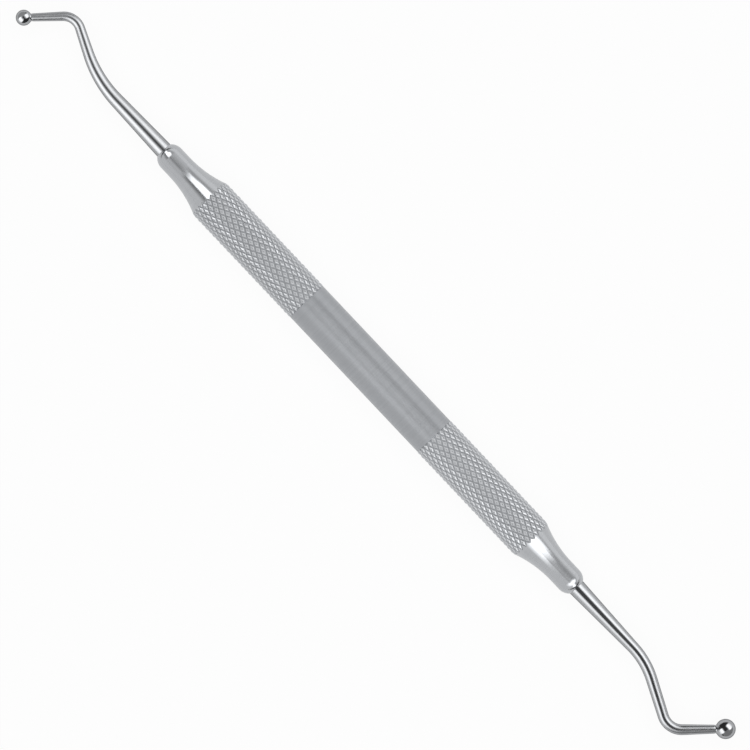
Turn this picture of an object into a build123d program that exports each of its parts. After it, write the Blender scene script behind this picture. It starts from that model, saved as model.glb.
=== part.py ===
from build123d import *
from itertools import pairwise
from math import ceil, cos, radians, sin, sqrt
import os

# Double-ended dental burnisher, in millimetres. The handle lies along X with its middle at the origin, and both
# working ends are bent in the XY plane. +Z is up.

# Handle, outside
grip_diameter = 8.0
plain_diameter = 7.8
plain_length = 32.0
grip_length = 24.2
cone_sweep_radius = 20.5
nose_diameter = 4.84
nose_straight_length = 2.1

# Diamond knurl on the two grips
knurl_start_count = 24
knurl_pitch = 1.8
knurl_depth = 0.24

# Handle, inside
tube_wall = 0.9
tang_bore_length = 8.0
bore_taper_length = 6.0

# Bar that each working end is turned from, and its brazed seat in the nose
bar_diameter = 3.1
tang_length = 8.6
tang_chamfer = 0.3
braze_gap = 0.02

# Small ball end: straight runs and bends, in order from the nose, then thicknesses and the ball
small_first_run = 12.0
small_first_bend_radius = 21.8
small_first_bend_angle = 25.0
small_middle_run = 4.6
small_second_bend_radius = 3.0
small_second_bend_angle = 73.7
small_last_run = 6.8
small_diameter_before_first_bend = 2.50
small_diameter_after_first_bend = 1.92
small_diameter_before_second_bend = 1.74
small_diameter_after_second_bend = 1.62
small_neck_diameter = 1.30
small_ball_diameter = 2.75

# Large ball end, in the same order
large_first_run = 14.2
large_first_bend_radius = 14.4
large_first_bend_angle = 25.9
large_middle_run = 6.7
large_second_bend_radius = 3.4
large_second_bend_angle = 73.5
large_last_run = 7.5
large_diameter_before_first_bend = 2.10
large_diameter_after_first_bend = 2.02
large_diameter_before_second_bend = 1.92
large_diameter_after_second_bend = 1.86
large_neck_diameter = 1.42
large_ball_diameter = 3.5

# Soft blend where a ball runs into its neck
neck_fillet_radius = 0.3

# Places along the handle that follow from the sizes above, measured from its middle
plain_end = plain_length / 2
cone_start = plain_end + grip_length
cone_depth = (grip_diameter - nose_diameter) / 2
cone_length = sqrt(2 * cone_sweep_radius * cone_depth - cone_depth**2)
root_radius = grip_diameter / 2 - knurl_depth
core_radius = root_radius - knurl_depth
nose_start = cone_start + cone_length
nose_centre = nose_start + nose_straight_length
tang_bore_diameter = bar_diameter + 2 * braze_gap
nose_front = nose_centre + sqrt(nose_diameter**2 - tang_bore_diameter**2) / 2


def both_halves(half):
    """The +X half of something on the handle, joined to its copy turned round to the -X half."""
    return half + half.rotate(Axis.Z, 180)


def turned_outline():
    """The +X half of the handle's outline: full-thickness grip, hollow-swept cone, straight nose, round tip."""
    corner = (cone_start, grip_diameter / 2)
    cone_end = (nose_start, nose_diameter / 2)
    nose_end = (nose_centre, nose_diameter / 2)
    tip = (nose_centre + nose_diameter / 2, 0)
    outline = [
        Polyline((0, 0), (0, grip_diameter), (cone_start, grip_diameter), corner),
        RadiusArc(corner, cone_end, -cone_sweep_radius),
        Line(cone_end, nose_end),
        RadiusArc(nose_end, tip, nose_diameter / 2),
        Line(tip, (0, 0)),
    ]
    return revolve(make_face(outline), Axis.X)


def smooth_rod():
    """The +X half of the rod under the knurl, with the plain stretch raised on it up to a 45 degree bevel."""
    plain_radius = plain_diameter / 2
    outline = Polyline(
        (0, 0),
        (0, plain_radius),
        (plain_end, plain_radius),
        (plain_end + plain_radius - core_radius, core_radius),
        (nose_front + nose_diameter, core_radius),
        (nose_front + nose_diameter, 0),
        close=True,
    )
    return revolve(make_face(outline), Axis.X)


def knurled_band():
    """The +X grip: two hands of crossing grooves leave a four-sided point between them, row after row.

    Crests and groove crossings take turns along each row and around it. The band starts below the surface of the
    plain stretch and ends halfway down the cone, where the cone's cut has removed all of it, so both edges of the
    grip come out as a saw-tooth of diamonds.
    """
    row_spacing = knurl_pitch / 2
    columns = 2 * knurl_start_count
    last_row = ceil((grip_length + cone_length / 2) / row_spacing)

    def point(row, column):
        is_crest = (row + column) % 2 == 0 and row > 0
        radius = grip_diameter / 2 if is_crest else root_radius
        turn = radians(360 * column / columns)
        return Vector(plain_end + (row - 0.5) * row_spacing, radius * cos(turn), radius * sin(turn))

    facets = []
    for row in range(last_row + 1):
        for column in range(row % 2, columns, 2):
            crossings = [(row, column + 1), (row + 1, column), (row, column - 1), (row - 1, column)]
            for first, second in pairwise(crossings + crossings[:1]):
                if 0 <= first[0] <= last_row and 0 <= second[0] <= last_row:
                    triangle = [point(row, column), point(*first), point(*second)]
                    facets.append(Face(Wire.make_polygon(triangle)))
    for row in (0, last_row):
        rim = [point(row, column) for column in range(columns)]
        facets.append(Face(Wire.make_polygon(rim)))
    return Solid(Shell(facets))


def handle_hollow():
    """The +X half of the hollow: open tube, taper under the cone, and the tang's bore through the nose."""
    tube_radius = plain_diameter / 2 - tube_wall
    tang_bore_start = nose_front - tang_bore_length
    beyond_nose = nose_front + nose_diameter
    outline = Polyline(
        (0, 0),
        (0, tube_radius),
        (tang_bore_start - bore_taper_length, tube_radius),
        (tang_bore_start, tang_bore_diameter / 2),
        (beyond_nose, tang_bore_diameter / 2),
        (beyond_nose, 0),
        close=True,
    )
    return revolve(make_face(outline), Axis.X)


def handle():
    """The hollow handle, knurled on both grips before its cones are turned."""
    knurled_rod = both_halves(knurled_band()) + both_halves(smooth_rod())
    turned_rod = knurled_rod & both_halves(turned_outline())
    return turned_rod - both_halves(handle_hollow())


def ball_tip(run, diameters, ball_diameter):
    """The last straight run and its ball, turned as one, with the ball's centre at the origin and the run below."""
    thick, neck = diameters
    tip = Pos(0, 0, -run / 2) * Cone(thick / 2, neck / 2, run) + Sphere(ball_diameter / 2)
    junction = tip.edges().filter_by(lambda edge: edge.is_closed).sort_by(Axis.Z)[-1]
    return fillet(junction, neck_fillet_radius)


def working_end(runs, bend_radii, bend_angles, diameters, ball_diameter):
    """A tang, a shank that tapers through two bends, and a ball, on the +X side of the handle.

    The shank leaves the nose along X, bends towards -Y, and bends back across the handle's axis. Each diameter
    is the shank's at a joint between two stretches, from the nose to the ball.
    """
    first_run = Line((nose_front, 0), (nose_front + runs[0], 0))
    first_bend = JernArc(first_run @ 1, first_run % 1, bend_radii[0], -bend_angles[0])
    middle_run = PolarLine(first_bend @ 1, runs[1], direction=first_bend % 1)
    second_bend = JernArc(middle_run @ 1, middle_run % 1, bend_radii[1], bend_angles[1])
    last_run = PolarLine(second_bend @ 1, runs[2], direction=second_bend % 1)
    stretches = [first_run, first_bend, middle_run, second_bend]

    tang = Pos(nose_front - tang_length / 2, 0, 0) * Rot(0, 90, 0) * Cylinder(bar_diameter / 2, tang_length)
    end = chamfer(tang.edges().group_by(Axis.X)[0], tang_chamfer)
    for stretch, (thick, thin) in zip(stretches, pairwise(diameters)):
        sections = [
            Plane(stretch @ 0, z_dir=stretch % 0) * Circle(thick / 2),
            Plane(stretch @ 1, z_dir=stretch % 1) * Circle(thin / 2),
        ]
        end += sweep(sections, path=stretch, multisection=True)
    return end + Plane(last_run @ 1, z_dir=last_run % 1) * ball_tip(runs[2], diameters[-2:], ball_diameter)


def small_ball_end():
    """The thinner working end, turned round to the -X side of the handle."""
    end = working_end(
        runs=[small_first_run, small_middle_run, small_last_run],
        bend_radii=[small_first_bend_radius, small_second_bend_radius],
        bend_angles=[small_first_bend_angle, small_second_bend_angle],
        diameters=[
            bar_diameter,
            small_diameter_before_first_bend,
            small_diameter_after_first_bend,
            small_diameter_before_second_bend,
            small_diameter_after_second_bend,
            small_neck_diameter,
        ],
        ball_diameter=small_ball_diameter,
    )
    return end.rotate(Axis.Z, 180)


def large_ball_end():
    """The thicker working end, on the +X side of the handle."""
    return working_end(
        runs=[large_first_run, large_middle_run, large_last_run],
        bend_radii=[large_first_bend_radius, large_second_bend_radius],
        bend_angles=[large_first_bend_angle, large_second_bend_angle],
        diameters=[
            bar_diameter,
            large_diameter_before_first_bend,
            large_diameter_after_first_bend,
            large_diameter_before_second_bend,
            large_diameter_after_second_bend,
            large_neck_diameter,
        ],
        ball_diameter=large_ball_diameter,
    )


os.makedirs("parts", exist_ok=True)
export_step(handle(), "parts/handle.step")
export_step(small_ball_end(), "parts/small_ball_end.step")
export_step(large_ball_end(), "parts/large_ball_end.step")
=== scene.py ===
import math

import bmesh
import bpy
import numpy as np
from mathutils import Matrix, Vector


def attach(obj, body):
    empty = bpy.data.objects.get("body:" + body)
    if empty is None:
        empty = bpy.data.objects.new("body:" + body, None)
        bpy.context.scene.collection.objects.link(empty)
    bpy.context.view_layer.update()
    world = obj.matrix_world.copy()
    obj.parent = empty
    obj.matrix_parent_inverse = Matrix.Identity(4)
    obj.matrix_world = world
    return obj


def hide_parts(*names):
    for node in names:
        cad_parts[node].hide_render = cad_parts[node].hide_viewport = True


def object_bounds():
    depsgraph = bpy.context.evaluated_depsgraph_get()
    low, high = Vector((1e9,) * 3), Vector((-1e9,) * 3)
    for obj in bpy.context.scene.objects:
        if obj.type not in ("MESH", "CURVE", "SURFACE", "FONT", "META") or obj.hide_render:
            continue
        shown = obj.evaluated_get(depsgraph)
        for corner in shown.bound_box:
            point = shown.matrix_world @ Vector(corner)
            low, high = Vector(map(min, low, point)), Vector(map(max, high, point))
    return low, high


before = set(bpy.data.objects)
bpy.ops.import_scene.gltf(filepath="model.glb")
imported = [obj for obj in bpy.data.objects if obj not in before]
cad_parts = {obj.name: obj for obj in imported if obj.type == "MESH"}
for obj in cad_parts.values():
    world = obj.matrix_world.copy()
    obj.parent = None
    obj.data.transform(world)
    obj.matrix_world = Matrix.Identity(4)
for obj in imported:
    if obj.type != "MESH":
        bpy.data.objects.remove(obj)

cad_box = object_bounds()


# The handle
# A stainless steel tube, 8 mm over its two diamond-knurled grips. The knurl is rolled first. Then both ends
# are turned to a hollow-swept cone and a round nose, so the cones cut the diamonds off in a saw-tooth.
# Its sizes, like all others here, are in millimetres.
MM = 0.001
grip_radius = 4.0
plain_radius = 3.9
plain_end = 16.0
cone_start = 40.2
cone_sweep_radius = 20.5
nose_radius = 2.42
nose_straight_length = 2.1
tube_bore_radius = 3.0
tang_bore_radius = 1.57
tang_bore_length = 8.0
bore_taper_length = 6.0
knurl_columns = 48
knurl_row_spacing = 0.9
knurl_depth = 0.24
turned_segments = 192

root_radius = grip_radius - knurl_depth
cone_depth = grip_radius - nose_radius
nose_start = cone_start + math.sqrt(2 * cone_sweep_radius * cone_depth - cone_depth**2)
nose_centre = nose_start + nose_straight_length
nose_front = nose_centre + math.sqrt(nose_radius**2 - tang_bore_radius**2)


def add_node(tree, kind, values=None, **settings):
    """A node with its settings and its input values, which go by socket name or number.

    A value that is itself a socket of another node is linked.
    """
    made = tree.nodes.new(kind)
    for name, setting in settings.items():
        setattr(made, name, setting)
    for name, value in (values or {}).items():
        if isinstance(value, bpy.types.NodeSocket):
            tree.links.new(value, made.inputs[name])
        else:
            made.inputs[name].default_value = value
    return made


def calculate(tree, operation, *values):
    """The result of a sum on one or two values."""
    return add_node(tree, "ShaderNodeMath", dict(enumerate(values)), operation=operation).outputs[0]


def map_range(tree, value, low, high, new_low, new_high):
    """A value moved from one range to another, and kept within it."""
    values = {"Value": value, "From Min": low, "From Max": high, "To Min": new_low, "To Max": new_high}
    return add_node(tree, "ShaderNodeMapRange", values).outputs["Result"]


def follow(tree, noise, low, high):
    """A value between two limits that follows a noise, which itself spreads from about 0.3 to 0.7."""
    return map_range(tree, noise, 0.3, 0.7, low, high)


def blend(tree, amount, first, second):
    """The first value where the amount is 0, and the second where it is 1."""
    return add_node(tree, "ShaderNodeMix", {0: amount, 2: first, 3: second}).outputs[0]


def blend_colour(tree, amount, first, second):
    """The first colour where the amount is 0, and the second where it is 1."""
    return add_node(tree, "ShaderNodeMix", {0: amount, 6: first, 7: second}, data_type="RGBA").outputs[2]


def bump(tree, height, depth):
    """A normal from a height between 0 and 1, where the depth is in millimetres."""
    values = {"Height": height, "Strength": 1.0, "Distance": depth * MM}
    return add_node(tree, "ShaderNodeBump", values).outputs["Normal"]


def place_on_piece(tree):
    """The X, Y and Z of a place on the piece, in metres."""
    place = add_node(tree, "ShaderNodeTexCoord").outputs["Object"]
    return add_node(tree, "ShaderNodeSeparateXYZ", {0: place}).outputs


def new_effect(name, inputs, output):
    """An empty effect group with float inputs, given with their usual values, and one float output."""
    tree = bpy.data.node_groups.new(name, "ShaderNodeTree")
    for label, usual in inputs.items():
        socket = tree.interface.new_socket(label, in_out="INPUT", socket_type="NodeSocketFloat")
        socket.default_value = usual
    tree.interface.new_socket(output, in_out="OUTPUT", socket_type="NodeSocketFloat")
    return tree, tree.nodes.new("NodeGroupInput").outputs, tree.nodes.new("NodeGroupOutput").inputs


def turning_lines():
    """Fine lines round the handle's axis, as the tool and the belt leave them: a noise drawn out sideways."""
    usual_values = {"Lines per metre": 9000.0, "Wander": 0.3}
    tree, given, result = new_effect("turning_lines", usual_values, "Lines")
    place = add_node(tree, "ShaderNodeTexCoord").outputs["Object"]
    drawn_out = {0: place, 1: (1, 0.012, 0.012)}
    across = add_node(tree, "ShaderNodeVectorMath", drawn_out, operation="MULTIPLY").outputs[0]
    values = {"Vector": across, "Scale": given["Lines per metre"], "Detail": 3, "Distortion": given["Wander"]}
    lines = add_node(tree, "ShaderNodeTexNoise", values)
    tree.links.new(lines.outputs["Fac"], result["Lines"])
    return tree


def metal_grain():
    """The soft uneven haze of worked steel, from broad clouds down to a fine grain."""
    usual_values = {"Grains per metre": 4000.0, "Roughness": 0.6}
    tree, given, result = new_effect("metal_grain", usual_values, "Grain")
    place = add_node(tree, "ShaderNodeTexCoord").outputs["Object"]
    values = {
        "Vector": place,
        "Scale": given["Grains per metre"],
        "Detail": 5,
        "Roughness": given["Roughness"],
    }
    grain = add_node(tree, "ShaderNodeTexNoise", values)
    tree.links.new(grain.outputs["Fac"], result["Grain"])
    return tree


def use_effect(tree, effect, **values):
    """An effect placed in a material. Its values go by its input names, with a low line for each space."""
    made = tree.nodes.new("ShaderNodeGroup")
    made.node_tree = effect
    for name, value in values.items():
        made.inputs[name.replace("_", " ")].default_value = value
    return made.outputs[0]


def new_steel(name):
    """An empty steel with the shader setting that every steel here shares."""
    material = bpy.data.materials.new(name)
    material.use_nodes = True
    shader = material.node_tree.nodes["Principled BSDF"]
    shader.inputs["Metallic"].default_value = 1
    return material, material.node_tree, shader


turning_lines_effect = turning_lines()
metal_grain_effect = metal_grain()

# Satin turned steel: the plain stretch between the grips, and the brighter cones and noses
plain_dark = (0.40, 0.413, 0.432, 1)
plain_light = (0.45, 0.463, 0.483, 1)
cone_dark = (0.51, 0.523, 0.543, 1)
cone_light = (0.55, 0.563, 0.583, 1)
cone_finish_start = 38.0
turning_line_depth = 0.002

turned_steel, tree, shader = new_steel("turned_steel")
lines = use_effect(tree, turning_lines_effect, Lines_per_metre=9000.0)
clouds = use_effect(tree, metal_grain_effect, Grains_per_metre=260.0)
from_middle = calculate(tree, "ABSOLUTE", place_on_piece(tree)["X"])
on_cone = map_range(tree, from_middle, cone_finish_start * MM, (cone_finish_start + 1) * MM, 0, 1)
streaks = follow(tree, lines, 0, 1)
plain_colour = blend_colour(tree, streaks, plain_dark, plain_light)
cone_colour = blend_colour(tree, streaks, cone_dark, cone_light)
tree.links.new(blend_colour(tree, on_cone, plain_colour, cone_colour), shader.inputs["Base Color"])
plain_roughness = follow(tree, clouds, 0.33, 0.39)
cone_roughness = follow(tree, clouds, 0.14, 0.18)
tree.links.new(blend(tree, on_cone, plain_roughness, cone_roughness), shader.inputs["Roughness"])
tree.links.new(bump(tree, lines, turning_line_depth), shader.inputs["Normal"])
tree.links.new(map_range(tree, on_cone, 0, 1, 0.55, 0.1), shader.inputs["Anisotropic"])
shader.inputs["Anisotropic Rotation"].default_value = 0.25
round_the_axis = add_node(tree, "ShaderNodeTangent", direction_type="RADIAL", axis="X")
tree.links.new(round_the_axis.outputs[0], shader.inputs["Tangent"])

# Rolled knurl: worn satin tops, flanks burnished by the knurling wheels, and painted shade darkening the
# groove bottoms
# The grooves' colour is painted shade: a darker colour at the bottoms of the grooves, where the diamonds
# shade them
groove_painted_shade = (0.38, 0.392, 0.41, 1)
flank_colour = (0.68, 0.693, 0.713, 1)
top_dark = (0.42, 0.433, 0.452, 1)
top_light = (0.47, 0.483, 0.503, 1)
flank_roughness = 0.40
groove_shade_edges = (root_radius + 0.02, root_radius + 0.12)
top_edges = (grip_radius - 0.08, grip_radius - 0.01)
grain_depth = 0.003

knurled_steel, tree, shader = new_steel("knurled_steel")
grain = use_effect(tree, metal_grain_effect, Grains_per_metre=7000.0)
place = place_on_piece(tree)
across = add_node(tree, "ShaderNodeCombineXYZ", {"Y": place["Y"], "Z": place["Z"]}).outputs[0]
from_axis = add_node(tree, "ShaderNodeVectorMath", {0: across}, operation="LENGTH").outputs["Value"]
# Painted shade in the grooves: it fades out between these radii, as the flanks rise from the groove bottoms
on_flank = map_range(tree, from_axis, groove_shade_edges[0] * MM, groove_shade_edges[1] * MM, 0, 1)
on_top = map_range(tree, from_axis, top_edges[0] * MM, top_edges[1] * MM, 0, 1)
top_colour = blend_colour(tree, grain, top_dark, top_light)
flank_and_groove_shade = blend_colour(tree, on_flank, groove_painted_shade, flank_colour)
tree.links.new(blend_colour(tree, on_top, flank_and_groove_shade, top_colour), shader.inputs["Base Color"])
top_roughness = follow(tree, grain, 0.38, 0.48)
tree.links.new(blend(tree, on_top, flank_roughness, top_roughness), shader.inputs["Roughness"])
tree.links.new(bump(tree, grain, grain_depth), shader.inputs["Normal"])


def metre_mesh(name, points, faces, material):
    """A piece with one material, from points in millimetres."""
    mesh = bpy.data.meshes.new(name)
    mesh.from_pydata((np.array(points) * MM).tolist(), [], faces)
    mesh.materials.append(material)
    piece = bpy.data.objects.new(name, mesh)
    bpy.context.collection.objects.link(piece)
    return piece


def turned(name, outline, material, half_step=0.0):
    """A closed solid turned about X, from (x, radius) points whose first and last lie on the axis.

    A half step of 0.5 keeps its corners off those of the solid that it meets.
    """
    points = [(outline[0][0], 0, 0)]
    for x, radius in outline[1:-1]:
        for step in range(turned_segments):
            angle = math.tau * (step + half_step) / turned_segments
            points.append((x, radius * math.cos(angle), radius * math.sin(angle)))
    points.append((outline[-1][0], 0, 0))
    last = len(points) - 1
    last_ring = last - turned_segments
    faces = []
    for step in range(turned_segments):
        after = (step + 1) % turned_segments
        faces.append((0, 1 + after, 1 + step))
        for low in range(1, last_ring, turned_segments):
            high = low + turned_segments
            faces.append((low + step, low + after, high + after, high + step))
        faces.append((last, last_ring + step, last_ring + after))
    return metre_mesh(name, points, faces, material)


def carved(piece, tool, operation):
    """Joins, trims or cuts a piece with a tool, and uses the tool up."""
    step = piece.modifiers.new("carve", "BOOLEAN")
    step.object = tool
    step.operation = operation
    step.solver = "EXACT"
    step.material_mode = "TRANSFER"
    bpy.context.view_layer.update()
    result = bpy.data.meshes.new_from_object(piece.evaluated_get(bpy.context.evaluated_depsgraph_get()))
    piece.modifiers.clear()
    piece.data = result
    bpy.data.objects.remove(tool)
    return piece


def knurled_band(material):
    """The +X grip's diamonds, each a four-sided point with a worn, rounded top.

    The rings of a diamond are (share of its size, share of its height), from its foot to its top. The band
    runs on past the grip's end, where the cone's cut takes the rest away.
    """
    rings = [
        (0.97, 0.01), (0.85, 0.11), (0.70, 0.29), (0.55, 0.50),
        (0.40, 0.71), (0.25, 0.88), (0.12, 0.97),
    ]
    compass = [(0, 1), (1, 0), (0, -1), (-1, 0)]
    first_x = plain_end - knurl_row_spacing / 2
    band_end = cone_start + 3.0
    last_row = math.ceil((band_end - first_x) / knurl_row_spacing)
    points = []
    faces = []
    crossings = {}

    def point(row, column, height):
        """A point of the band, at a height of 0 in the grooves and 1 on the tops."""
        radius = grip_radius - knurl_depth * (1 - height)
        angle = math.tau * column / knurl_columns
        place = (first_x + row * knurl_row_spacing, radius * math.cos(angle), radius * math.sin(angle))
        points.append(place)
        return len(points) - 1

    def crossing(row, column):
        """The bottom point where two grooves cross, which four diamonds share."""
        key = (row, column % knurl_columns)
        if key not in crossings:
            crossings[key] = point(row, column, 0)
        return crossings[key]

    for row in range(1, last_row):
        for column in range(row % 2, knurl_columns, 2):
            outer = [crossing(row + up, column + along) for up, along in compass]
            for size, height in rings:
                inner = [point(row + size * up, column + size * along, height) for up, along in compass]
                for side in range(4):
                    after = (side + 1) % 4
                    faces.append((outer[side], outer[after], inner[after], inner[side]))
                outer = inner
            top = point(row, column, 1.0)
            for side in range(4):
                faces.append((outer[side], outer[(side + 1) % 4], top))
    for column in range(0, knurl_columns, 2):
        half_diamond = [(0, column + 1), (1, column), (0, column - 1)]
        faces.append(tuple(crossing(*place) for place in half_diamond))
    for column in range(last_row % 2, knurl_columns, 2):
        half_diamond = [(last_row, column - 1), (last_row - 1, column), (last_row, column + 1)]
        faces.append(tuple(crossing(*place) for place in half_diamond))
    faces.append(tuple(crossing(0, column) for column in range(knurl_columns - 1, 0, -2)))
    last_columns = range((last_row + 1) % 2, knurl_columns, 2)
    faces.append(tuple(crossing(last_row, column) for column in last_columns))
    return metre_mesh("knurled_band", points, faces, material)


def half_handle(knurl_steel, turned_steel):
    """The +X half of the handle, made as the real one is: knurled, turned at its end, then bored."""
    past = 1.0
    cone_step = 0.1
    nose_step = 2
    core_radius = grip_radius - 2 * knurl_depth
    beyond = nose_centre + nose_radius + past
    rod = [(0, 0), (0, plain_radius), (plain_end, plain_radius)]
    rod += [(plain_end + plain_radius - core_radius, core_radius), (beyond, core_radius), (beyond, 0)]
    half = carved(turned("rod", rod, turned_steel, 0.5), knurled_band(knurl_steel), "UNION")

    outline = [(-past, 0), (-past, grip_radius + past)]
    outline += [(cone_start, grip_radius + past), (cone_start, grip_radius)]
    for x in np.arange(cone_start + cone_step, nose_start, cone_step):
        drop = math.sqrt(cone_sweep_radius**2 - (nose_start - x) ** 2)
        outline.append((x, nose_radius + cone_sweep_radius - drop))
    outline += [(nose_start, nose_radius), (nose_centre, nose_radius)]
    for angle in np.radians(np.arange(nose_step, 90, nose_step)):
        outline.append((nose_centre + nose_radius * math.sin(angle), nose_radius * math.cos(angle)))
    outline.append((nose_centre + nose_radius, 0))
    half = carved(half, turned("cone_and_nose", outline, turned_steel), "INTERSECT")

    tang_bore_start = nose_front - tang_bore_length
    hollow = [(-past, 0), (-past, tube_bore_radius), (tang_bore_start - bore_taper_length, tube_bore_radius)]
    hollow += [(tang_bore_start, tang_bore_radius), (beyond, tang_bore_radius), (beyond, 0)]
    return carved(half, turned("hollow", hollow, turned_steel, 0.5), "DIFFERENCE")


def whole_handle(knurl_steel, turned_steel):
    """Both halves, joined at the middle, with crisp edges where the real ones are crisp."""
    crisp_angle = 0.5
    at_middle = 1e-6
    touching = 1e-7
    half = half_handle(knurl_steel, turned_steel)
    shape = bmesh.new()
    shape.from_mesh(half.data)
    middle = [face for face in shape.faces if all(abs(corner.co.x) < at_middle for corner in face.verts)]
    bmesh.ops.delete(shape, geom=middle, context="FACES")
    other = bmesh.ops.duplicate(shape, geom=shape.verts[:] + shape.edges[:] + shape.faces[:])
    other_points = [item for item in other["geom"] if isinstance(item, bmesh.types.BMVert)]
    half_turn = Matrix.Rotation(math.pi, 3, "Z")
    bmesh.ops.rotate(shape, verts=other_points, cent=(0, 0, 0), matrix=half_turn)
    bmesh.ops.remove_doubles(shape, verts=shape.verts[:], dist=touching)
    for face in shape.faces:
        face.smooth = True
    for edge in shape.edges:
        sides = edge.link_faces
        if len(sides) == 2:
            one_steel = sides[0].material_index == sides[1].material_index
            edge.smooth = one_steel and edge.calc_face_angle(0) < crisp_angle
    shape.to_mesh(half.data)
    shape.free()
    half.name = "knurled_handle"
    shading = half.modifiers.new("even shading", "WEIGHTED_NORMAL")
    shading.keep_sharp = True
    return half


handle = whole_handle(knurled_steel, turned_steel)
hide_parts("handle")
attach(handle, "root")


# The working ends
# Each is turned from one polished steel bar: a tang brazed into the handle's nose, a tapering shank, and the
# ball on its tip. The shank is bent after turning, away from the handle's axis and then back across it.
bar_diameter = 3.1
tang_length = 8.6
tang_chamfer = 0.3
neck_fillet = 0.3
shank_segments = 96


def shank_route(stretches, distance):
    """Where the shank's middle line is, and which way it heads, at a distance from the nose along it."""
    x, y, heading = nose_front, 0.0, 0.0
    for stretch in stretches:
        length, turn = stretch
        part = distance if stretch is stretches[-1] else min(distance, length)
        angle = math.radians(turn) * part / length
        chord = part * (math.sin(angle / 2) / (angle / 2) if angle else 1.0)
        x += chord * math.cos(heading + angle / 2)
        y += chord * math.sin(heading + angle / 2)
        heading += angle
        distance -= part
        if distance == 0:
            break
    return x, y, heading


def eased_radii(places, diameters):
    """Distances and radii along the shank, its tapers eased into one another as polishing leaves them."""
    margin = 4.0
    spacing = 0.05
    window_samples = 61
    window = np.hanning(window_samples)
    window /= window.sum()
    distances = np.arange(-margin, places[-1] + margin, spacing)
    return distances, np.convolve(np.interp(distances, places, diameters) / 2, window, mode="same")


def end_rings(places, diameters, ball_radius):
    """Rings of (distance from the nose, radius) from the tang's end to the ball's tip, and the neck's place.

    The tang keeps the bar's full thickness up to just inside the nose, where the shank starts.
    """
    tang_front = -0.6
    shank_start = -0.4
    ring_spacing = 0.15
    fillet_rings = 9
    ball_rings = 64
    bar_radius = bar_diameter / 2
    neck_radius = diameters[-1] / 2
    ball_centre = places[-1]
    reach = math.sqrt((ball_radius + neck_fillet) ** 2 - (neck_radius + neck_fillet) ** 2)
    neck_place = ball_centre - reach

    rings = [(-tang_length, bar_radius - tang_chamfer), (-tang_length + tang_chamfer, bar_radius)]
    rings.append((tang_front, bar_radius))
    distances, radii = eased_radii(places, diameters)
    for distance in np.arange(shank_start, neck_place - 0.1, ring_spacing):
        rings.append((distance, min(bar_radius, np.interp(distance, distances, radii))))
    leave = math.acos((neck_radius + neck_fillet) / (ball_radius + neck_fillet))
    for angle in np.linspace(0, math.pi / 2 - leave, fillet_rings):
        ring_radius = neck_radius + neck_fillet * (1 - math.cos(angle))
        rings.append((neck_place + neck_fillet * math.sin(angle), ring_radius))
    for angle in np.linspace(math.pi / 2 - leave, math.pi, ball_rings)[1:-1]:
        rings.append((ball_centre - ball_radius * math.cos(angle), ball_radius * math.sin(angle)))
    return rings, neck_place


def working_end(name, runs, bend_radii, bend_angles, diameters, ball_diameter, turn, material):
    """One working end. Its diameters are those at the ends of its stretches, from the nose to the neck.

    Its UV map unrolls it: X is the distance past the neck in metres, and Y is the turn round it.
    """
    bends = [radius * math.radians(angle) for radius, angle in zip(bend_radii, bend_angles)]
    stretches = [
        (runs[0], 0),
        (bends[0], -bend_angles[0]),
        (runs[1], 0),
        (bends[1], bend_angles[1]),
        (runs[2], 0),
    ]
    places = np.cumsum([0] + [length for length, _ in stretches])
    ball_radius = ball_diameter / 2
    rings, neck_place = end_rings(places, diameters, ball_radius)

    points = []
    for distance, radius in rings:
        x, y, heading = shank_route(stretches, distance)
        for step in range(shank_segments):
            angle = math.tau * step / shank_segments
            side = radius * math.cos(angle)
            middle = (x - side * math.sin(heading), y + side * math.cos(heading))
            points.append((*middle, radius * math.sin(angle)))
    tip_distance = places[-1] + ball_radius
    tip = shank_route(stretches, tip_distance)
    points.append((tip[0], tip[1], 0))

    faces = [tuple(range(shank_segments - 1, -1, -1))]
    unrolled = [(0, step) for step in faces[0]]
    last = len(rings) - 1
    last_ring = last * shank_segments
    for step in range(shank_segments):
        after = (step + 1) % shank_segments
        for ring in range(last):
            low = ring * shank_segments
            high = low + shank_segments
            faces.append((low + step, low + after, high + after, high + step))
            unrolled += [(ring, step), (ring, step + 1), (ring + 1, step + 1), (ring + 1, step)]
        faces.append((last_ring + step, last_ring + after, last_ring + shank_segments))
        unrolled += [(last, step), (last, step + 1), (last + 1, step)]
    piece = metre_mesh(name, points, faces, material)

    distances = [distance for distance, _ in rings] + [tip_distance]
    layer = piece.data.uv_layers.new(name="along_the_shank")
    for corner, (ring, step) in zip(layer.data, unrolled):
        corner.uv = ((distances[ring] - neck_place) * MM, step / shank_segments)
    piece.data.transform(Matrix.Rotation(math.radians(turn), 4, "Z"))
    piece.data.shade_smooth()
    return piece


# Polished steel: drawn along the shank by the polishing cloth, and smoother on the ball
polish_dark = (0.44, 0.45, 0.464, 1)
polish_light = (0.51, 0.52, 0.535, 1)
edge_tint = (0.3, 0.3, 0.3, 1)

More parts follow.
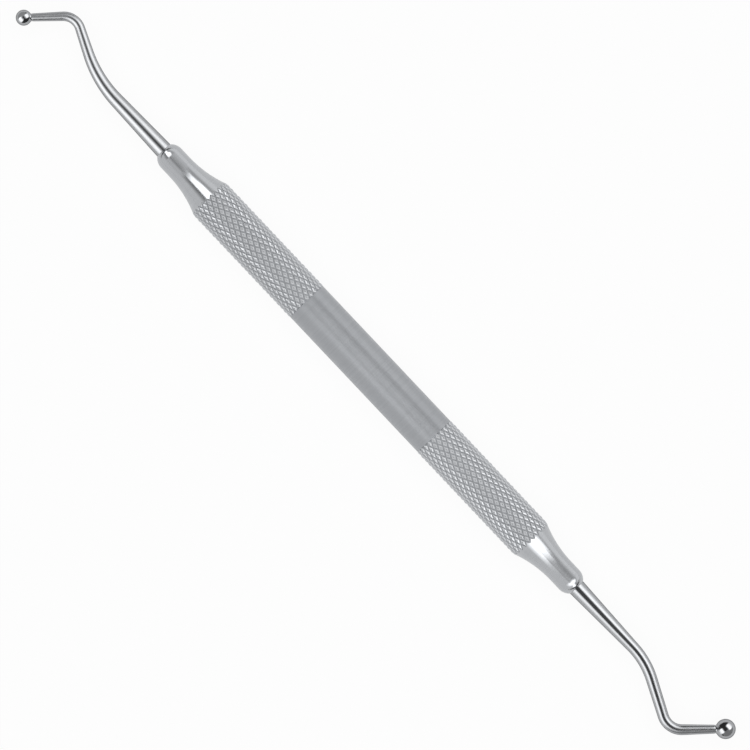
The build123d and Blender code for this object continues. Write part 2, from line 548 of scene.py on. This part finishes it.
polished_steel, tree, shader = new_steel("polished_steel")
scuffs = use_effect(tree, metal_grain_effect, Grains_per_metre=900.0)
tree.links.new(blend_colour(tree, scuffs, polish_dark, polish_light), shader.inputs["Base Color"])
unrolled_place = add_node(tree, "ShaderNodeUVMap", uv_map="along_the_shank").outputs["UV"]
past_neck = add_node(tree, "ShaderNodeSeparateXYZ", {0: unrolled_place}).outputs["X"]
on_ball = map_range(tree, past_neck, -0.2 * MM, 0.3 * MM, 0, 1)
shank_roughness = follow(tree, scuffs, 0.22, 0.25)
ball_roughness = follow(tree, scuffs, 0.13, 0.17)
tree.links.new(blend(tree, on_ball, shank_roughness, ball_roughness), shader.inputs["Roughness"])
tree.links.new(map_range(tree, on_ball, 0, 1, 1, 0), shader.inputs["Anisotropic"])
along_the_shank = add_node(tree, "ShaderNodeTangent", direction_type="UV_MAP", uv_map="along_the_shank")
tree.links.new(along_the_shank.outputs[0], shader.inputs["Tangent"])
shader.inputs["Specular Tint"].default_value = edge_tint

small_end = working_end(
    "small_ball_burnisher_end",
    runs=[12.0, 4.6, 6.8],
    bend_radii=[21.8, 3.0],
    bend_angles=[25.0, 73.7],
    diameters=[bar_diameter, 2.50, 1.92, 1.74, 1.62, 1.30],
    ball_diameter=2.75,
    turn=180,
    material=polished_steel,
)
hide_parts("small_ball_end")
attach(small_end, "root")

large_end = working_end(
    "large_ball_burnisher_end",
    runs=[14.2, 6.7, 7.5],
    bend_radii=[14.4, 3.4],
    bend_angles=[25.9, 73.5],
    diameters=[bar_diameter, 2.10, 2.02, 1.92, 1.86, 1.42],
    ball_diameter=3.5,
    turn=0,
    material=polished_steel,
)
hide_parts("large_ball_end")
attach(large_end, "root")


# The floor
# A sheet of white paper under the instrument. The camera sees it nearly white, the steel mirrors it as a
# dimmer glow, and what is left of it is plain paper that keeps the instrument's shadow.
floor_size = 6.0
floor_glow = 0.94
mirrored_glow = 0.33

bpy.ops.mesh.primitive_plane_add(size=floor_size, location=(0, 0, cad_box[0].z))
floor = bpy.context.object
floor.name = "floor"
floor_paper = bpy.data.materials.new("floor_paper")
floor_paper.use_nodes = True
tree = floor_paper.node_tree
paper = tree.nodes["Principled BSDF"]
paper.inputs["Base Color"].default_value = (0.95, 0.95, 0.95, 1)
paper.inputs["Roughness"].default_value = 0.9
paper.inputs["Specular IOR Level"].default_value = 0.0
rays = add_node(tree, "ShaderNodeLightPath").outputs
seen = calculate(tree, "MULTIPLY", rays["Is Camera Ray"], floor_glow)
mirrored = calculate(tree, "MULTIPLY", rays["Is Glossy Ray"], mirrored_glow)
glow = calculate(tree, "MAXIMUM", seen, mirrored)
white = add_node(tree, "ShaderNodeEmission", {"Color": (1, 1, 1, 1), "Strength": 1.0})
surface = add_node(tree, "ShaderNodeMixShader", {0: glow, 1: paper.outputs[0], 2: white.outputs[0]})
tree.links.new(surface.outputs[0], tree.nodes["Material Output"].inputs["Surface"])
floor.data.materials.append(floor_paper)


# The lights
# A dim studio, where each light falls only on the piece that it is for. Over each working end are two long
# panels with a dark slot between them. The handle has a banded sky, and strips that draw the wedges on its
# cones, the sparkle on its grips and the spots on its noses.
world_grey = 0.04

world = bpy.data.worlds.new("studio")
bpy.context.scene.world = world
world.use_nodes = True
background = world.node_tree.nodes["Background"]
background.inputs["Color"].default_value = (world_grey, world_grey, world_grey, 1)
background.inputs["Strength"].default_value = 1.0


def fade_lamp(lamp, fade, soft_ends):
    """Gives a lamp its bands from one long side to the other, and dims it towards both ends."""
    lamp.use_nodes = True
    tree = lamp.node_tree
    on_lamp = add_node(tree, "ShaderNodeNewGeometry").outputs["Parametric"]
    spot = add_node(tree, "ShaderNodeSeparateXYZ", {0: on_lamp}).outputs
    ramp = add_node(tree, "ShaderNodeValToRGB", {0: spot["Y"]})
    bands = ramp.color_ramp
    bands.interpolation = "EASE"
    for place, share in fade:
        bands.elements.new(place).color = (share, share, share, 1)
    bands.elements.remove(bands.elements[0])
    bands.elements.remove(bands.elements[-1])
    least = 0.001
    low_end = map_range(tree, spot["X"], 0, soft_ends + least, 0, 1)
    high_end = map_range(tree, spot["X"], 1, 1 - soft_ends - least, 0, 1)
    ends = calculate(tree, "MULTIPLY", low_end, high_end)
    strength = calculate(tree, "MULTIPLY", ramp.outputs["Color"], ends)
    tree.links.new(strength, tree.nodes["Emission"].inputs["Strength"])


def panel(name, corner, along, across, radiance, lit, fade=None, soft_ends=0.0):
    """A panel of light from one corner and two sides in millimetres, for one collection of pieces.

    It is as bright as white paper times its radiance. A fade lists (place across it, share of the
    radiance), and soft ends are the share of its length over which it dims to nothing at either end.
    """
    corner, along, across = (Vector(side) * MM for side in (corner, along, across))
    lamp = bpy.data.lights.new(name, "AREA")
    lamp.shape = "RECTANGLE"
    lamp.size = along.length
    lamp.size_y = across.length
    lamp.energy = radiance * math.pi * lamp.size * lamp.size_y
    light = bpy.data.objects.new(name, lamp)
    bpy.context.collection.objects.link(light)
    away = along.cross(across).normalized()
    middle = corner + (along + across) / 2
    # A lamp shines along its own -Z, so its Z points away from the instrument
    if away.dot(middle) < 0:
        along, away = -along, -away
    light.matrix_world = Matrix((along.normalized(), across.normalized(), away)).transposed().to_4x4()
    light.location = middle
    light.visible_camera = False
    light.light_linking.receiver_collection = lit
    if fade:
        fade_lamp(lamp, fade, soft_ends)


def lit_collection(name, pieces):
    """The pieces that some of the lights are kept to."""
    collection = bpy.data.collections.new(name)
    for piece in pieces:
        collection.objects.link(piece)
    return collection


def light_working_end(end, outwards, slot_sides, fade, wall_radiance):
    """Two long panels that slope down from a dark slot overhead, and a dim wall beyond the ball.

    Outwards is 1 for the end at +X and -1 for the other. The slot's sides are its far and near edges from the
    handle's axis.
    """
    lit = lit_collection("only_the_" + end.name, [end])
    top = 290
    foot = 330
    drop = 285
    panel_radiance = 2.3
    soft_ends = 0.17
    for name, side, edge in (("far", 1, slot_sides[0]), ("near", -1, slot_sides[1])):
        inner, outer = (-55, 260) if side == outwards else (-130, 160)
        corner = (inner * outwards, edge * side, top)
        along = ((outer - inner) * outwards, 0, 0)
        across = (0, (foot - edge) * side, -drop)
        panel(f"{name}_panel_{end.name}", corner, along, across, panel_radiance, lit, fade, soft_ends)
    wall_corner = (165 * outwards, -400, top)
    wall_slope = (185 * outwards, 0, -288)
    panel(f"wall_{end.name}", wall_corner, (0, 800, 0), wall_slope, wall_radiance, lit)


small_end_fade = [
    (0.001, 0.03), (0.12, 0.11), (0.20, 0.28), (0.30, 0.58), (0.39, 0.90),
    (0.49, 1.0), (0.62, 0.93), (0.76, 0.78), (0.90, 0.62), (0.999, 0.50),
]
large_end_fade = [
    (0.001, 0.00), (0.12, 0.00), (0.20, 0.07), (0.30, 0.60), (0.39, 1.0),
    (0.49, 1.0), (0.62, 0.82), (0.76, 0.63), (0.90, 0.50), (0.999, 0.42),
]
light_working_end(small_end, -1, (27, 27), small_end_fade, 0.40)
light_working_end(large_end, 1, (33, 44), large_end_fade, 0.26)

# The sky over the handle, banded from the near side to the far side: low over the plain stretch, and high
# over the rest
only_handle = lit_collection("only_the_handle", [handle])
sky_radiance = 0.85
middle_fade = [
    (0.001, 0.74), (0.2441, 0.77), (0.2515, 0.49), (0.3000, 0.49), (0.3250, 0.60), (0.3400, 0.67),
    (0.4118, 0.70), (0.5015, 0.65), (0.6176, 0.45), (0.7353, 0.34), (0.8529, 0.58), (0.999, 0.80),
]
small_nose_fade = [
    (0.001, 0.78), (0.22, 0.83), (0.27, 0.72), (0.32, 0.48), (0.3676, 0.40), (0.428, 0.54), (0.4926, 0.62),
    (0.566, 0.72), (0.64, 0.80), (0.71, 0.86), (0.999, 0.92),
]
large_nose_fade = [
    (0.001, 0.88), (0.22, 0.93), (0.27, 0.70), (0.31, 0.66), (0.3676, 0.72), (0.428, 0.66), (0.4926, 0.55),
    (0.566, 0.52), (0.64, 0.58), (0.71, 0.68), (0.78, 0.82), (0.999, 0.92),
]
far_bands = [
    (0.3250, 0.27), (0.3400, 0.44), (0.4118, 0.51), (0.5015, 0.59), (0.6176, 0.56), (0.7353, 0.53),
    (0.8529, 0.80), (0.999, 0.94),
]
small_end_bands = [(0.001, 0.82), (0.06, 0.70), (0.16, 0.42), (0.24, 0.22), (0.30, 0.14)] + far_bands
large_end_bands = [(0.001, 0.88), (0.2441, 0.88), (0.2515, 0.12), (0.3000, 0.12)] + far_bands


def high_sky(name, from_x, to_x, fade):
    """One stretch of the high sky, along the handle."""
    panel(name, (from_x, -250, 250), (to_x - from_x, 0, 0), (0, 680, 0), sky_radiance, only_handle, fade)


panel("handle_sky_middle", (-27, -60, 60), (54, 0, 0), (0, 163.2, 0), sky_radiance, only_handle, middle_fade)
high_sky("handle_sky_small_nose", -114, -42, small_nose_fade)
high_sky("handle_sky_large_nose", 42, 114, large_nose_fade)
high_sky("handle_sky_small_end", -1000, -114, small_end_bands)
high_sky("handle_sky_large_end", 114, 1000, large_end_bands)
panel("handle_sky_near", (-1000, -250, 250), (2000, 0, 0), (0, -950, -253), 0.75, only_handle)
panel("handle_sky_far", (-1000, 430, 250), (2000, 0, 0), (0, 870, -253), 0.90, only_handle)

# The wedges on the cones
cone_strip_height = 102
cone_strip_radiance = 1.72
even = [(0.001, 1.0), (0.999, 1.0)]
towards_far_side = [(0.001, 0.05), (0.11, 0.18), (0.23, 0.33), (0.39, 0.60), (0.52, 1.0), (0.999, 1.0)]
towards_near_side = [(0.001, 1.0), (0.999, 0.5)]


def cone_strip(name, near_corner, length, width, fade, soft_ends):
    """A bright strip over a cone, from the corner with the lowest X and Y."""
    corner = (*near_corner, cone_strip_height)
    along, across = (length, 0, 0), (0, width, 0)
    panel(name, corner, along, across, cone_strip_radiance, only_handle, fade, soft_ends)


cone_strip("cone_strip_small_end", (-170, -22.5), 97.5, 67.5, even, 0.10)
cone_strip("cone_corner_small_end", (-176, 45), 84, 17, even, 0.22)
cone_strip("cone_strip_large_end", (72, -125), 104, 173, towards_far_side, 0.26)
cone_strip("cone_corner_large_end", (92, 48), 84, 50, towards_near_side, 0.22)

# The sparkle on the grips, and the spots on the noses
grip_fade = [(0.001, 0.3), (0.2, 1.0), (0.8, 1.0), (0.999, 0.3)]
nose_radiance = 1.65


def grip_strip(name, corner, width):
    """A strip high over the other half of the handle, which one grip's diamonds pick up."""
    panel(name, corner, (70, 0, 0), (0, width, 0), 2.2, only_handle, grip_fade, 0.25)


grip_strip("grip_strip_small_end", (135, -120, 250), 160)
grip_strip("grip_strip_large_end", (-205, -50, 250), 175)
panel("nose_strip_small_end", (-335, -40, 292), (0, 120, 0), (-70, 0, -210), nose_radiance, only_handle)
panel("nose_strip_large_end", (333, -80, 292), (0, 130, 0), (70, 0, -210), nose_radiance, only_handle)

# The even light on the floor
only_floor = lit_collection("only_the_floor", [floor])
panel("floor_light", (-600, -600, 700), (1200, 0, 0), (0, 1200, 0), 1.5, only_floor)


# The camera
# A long lens that looks straight down, rolled so that the handle lies from corner to corner of a square
# picture. Its height follows from the width of floor that the picture shows.
photo_width = 129.9 * MM
photo_centre = Vector((1.34, -0.12, 0)) * MM
photo_roll = math.radians(46.64)
lens_length = 200
sensor_width = 36

camera_data = bpy.data.cameras.new("camera")
camera = bpy.data.objects.new("camera", camera_data)
bpy.context.collection.objects.link(camera)
camera_data.lens = lens_length
camera_data.sensor_width = sensor_width
camera.location = photo_centre + Vector((0, 0, photo_width * lens_length / sensor_width))
camera.rotation_euler = (0, 0, photo_roll)
camera_data.clip_start = 0.01
camera_data.clip_end = 20
bpy.context.scene.camera = camera
bpy.context.scene.view_settings.view_transform = "Standard"
